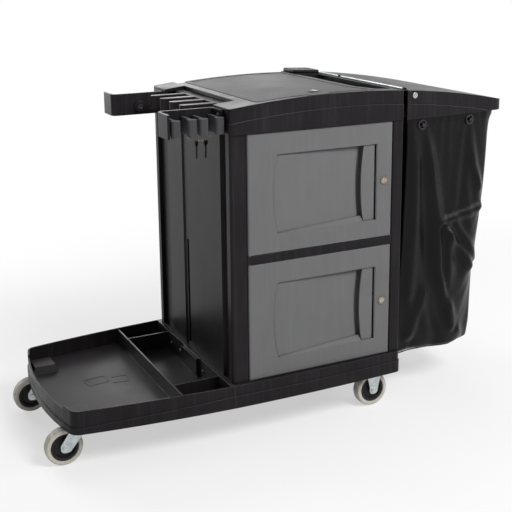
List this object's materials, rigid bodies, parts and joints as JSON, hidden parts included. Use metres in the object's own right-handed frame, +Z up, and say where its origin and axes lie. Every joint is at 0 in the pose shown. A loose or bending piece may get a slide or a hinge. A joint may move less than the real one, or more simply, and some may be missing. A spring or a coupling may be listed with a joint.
{
  "type": "janitor cart",
  "caption": "Cleaning cart with a two-door locking cabinet, mop platform, tool rack with handle clips, lockable top tray and a hooded waste bag on swivel and fixed casters.",
  "frame": {"origin": "centre of the overall footprint on the floor", "axes": "+X along the cart towards the waste bag, -X towards the mop platform, -Y towards the doors, +Z up"},
  "size_m": [1.3954, 0.5806, 0.9342],
  "materials": {
    "black_plastic": "fine moulded grain",
    "grey_plastic": "fine moulded grain",
    "clip_rubber": "matt",
    "tread_rubber": "matt",
    "hub_plastic": "moulded",
    "zinc_steel": "zinc plated",
    "bright_steel": "bright nickel",
    "black_steel": "blackened, half gloss",
    "lock_brass": "satin",
    "bag_fabric": "coated nylon with a slight sheen"
  },
  "bodies": {
    "cart": {"base_deck": "black_plastic", "mop_platform": "black_plastic", "left_end_panel": "black_plastic", "right_end_panel": "black_plastic", "back_panel": "black_plastic", "front_left_post": "black_plastic", "front_right_post": "black_plastic", "rear_left_post": "black_plastic", "rear_right_post": "black_plastic", "middle_shelf": "black_plastic", "top_floor": "black_plastic", "top_shell": "black_plastic", "lidded_tray": "black_plastic", "open_tray": "black_plastic", "frame_screws": "black_steel", "door_hinge_pins": "zinc_steel", "lid_hinge_pins": "zinc_steel", "tool_arm_front": "black_plastic", "tool_arm_rear": "black_plastic", "tool_comb": "black_plastic", "clip_jaws_front": "clip_rubber", "clip_jaws_rear": "clip_rubber", "bag_frame": "black_plastic", "bag_hooks": "black_steel", "bag": "bag_fabric", "bag_grommets": "black_steel", "hood_pivot_screws": "bright_steel", "fixed_forks": "zinc_steel", "fixed_axles": "zinc_steel", "swivel_mounts": "zinc_steel"},
    "lower_door": {"lower_door_skin": "grey_plastic", "lower_door_liner": "black_plastic", "lower_lock_barrel": "lock_brass"},
    "lower_lock": {"lower_lock_plug": "bright_steel", "lower_lock_cam": "zinc_steel"},
    "upper_door": {"upper_door_skin": "grey_plastic", "upper_door_liner": "black_plastic", "upper_lock_barrel": "lock_brass"},
    "upper_lock": {"upper_lock_plug": "bright_steel", "upper_lock_cam": "zinc_steel"},
    "lid": {"lid": "grey_plastic", "lid_lock_barrel": "lock_brass"},
    "lid_lock": {"lid_lock_plug": "bright_steel", "lid_lock_cam": "zinc_steel"},
    "hood": {"hood": "black_plastic"},
    "front_swivel": {"swivel_fork_front": "zinc_steel", "swivel_axle_front": "zinc_steel"},
    "rear_swivel": {"swivel_fork_rear": "zinc_steel", "swivel_axle_rear": "zinc_steel"},
    "front_swivel_wheel": {"swivel_hub_front": "hub_plastic", "swivel_tread_front": "tread_rubber"},
    "rear_swivel_wheel": {"swivel_hub_rear": "hub_plastic", "swivel_tread_rear": "tread_rubber"},
    "front_fixed_wheel": {"fixed_hub_front": "hub_plastic", "fixed_tread_front": "tread_rubber"},
    "rear_fixed_wheel": {"fixed_hub_rear": "hub_plastic", "fixed_tread_rear": "tread_rubber"}
  },
  "joints": [
    {"name": "lower_door_hinge", "type": "hinge", "parent": "cart", "child": "lower_door", "pos_m": [-0.1487, -0.2655, 0.168], "axis": [0, 0, -1], "range_deg": [0, 100]},
    {"name": "lower_lock_turn", "type": "hinge", "parent": "lower_door", "child": "lower_lock", "pos_m": [0.2623, -0.2725, 0.328], "axis": [0, 1, 0], "range_deg": [0, 90]},
    {"name": "upper_door_hinge", "type": "hinge", "parent": "cart", "child": "upper_door", "pos_m": [-0.1487, -0.2655, 0.518], "axis": [0, 0, -1], "range_deg": [0, 100]},
    {"name": "upper_lock_turn", "type": "hinge", "parent": "upper_door", "child": "upper_lock", "pos_m": [0.2623, -0.2725, 0.678], "axis": [0, 1, 0], "range_deg": [0, 90]},
    {"name": "lid_hinge", "type": "hinge", "parent": "cart", "child": "lid", "pos_m": [-0.1187, 0.252, 0.911], "axis": [-1, 0, 0], "range_deg": [0, 95]},
    {"name": "lid_lock_turn", "type": "hinge", "parent": "lid", "child": "lid_lock", "pos_m": [0.0733, -0.215, 0.925], "axis": [0, 0, -1], "range_deg": [0, 90]},
    {"name": "hood_pivot", "type": "hinge", "parent": "cart", "child": "hood", "pos_m": [0.3563, 0, 0.908], "axis": [0, -1, 0], "range_deg": [0, 100]},
    {"name": "front_swivel_turn", "type": "hinge", "parent": "cart", "child": "front_swivel", "pos_m": [-0.6077, -0.177, 0.11], "axis": [0, 0, 1], "continuous": true},
    {"name": "front_swivel_wheel_spin", "type": "hinge", "parent": "front_swivel", "child": "front_swivel_wheel", "pos_m": [-0.6477, -0.177, 0.05], "axis": [0, 1, 0], "continuous": true},
    {"name": "front_fixed_wheel_spin", "type": "hinge", "parent": "cart", "child": "front_fixed_wheel", "pos_m": [0.2503, -0.238, 0.05], "axis": [0, 1, 0], "continuous": true},
    {"name": "rear_swivel_turn", "type": "hinge", "parent": "cart", "child": "rear_swivel", "pos_m": [-0.6077, 0.177, 0.11], "axis": [0, 0, 1], "continuous": true},
    {"name": "rear_swivel_wheel_spin", "type": "hinge", "parent": "rear_swivel", "child": "rear_swivel_wheel", "pos_m": [-0.6477, 0.177, 0.05], "axis": [0, 1, 0], "continuous": true},
    {"name": "rear_fixed_wheel_spin", "type": "hinge", "parent": "cart", "child": "rear_fixed_wheel", "pos_m": [0.2503, 0.238, 0.05], "axis": [0, 1, 0], "continuous": true}
  ]
}
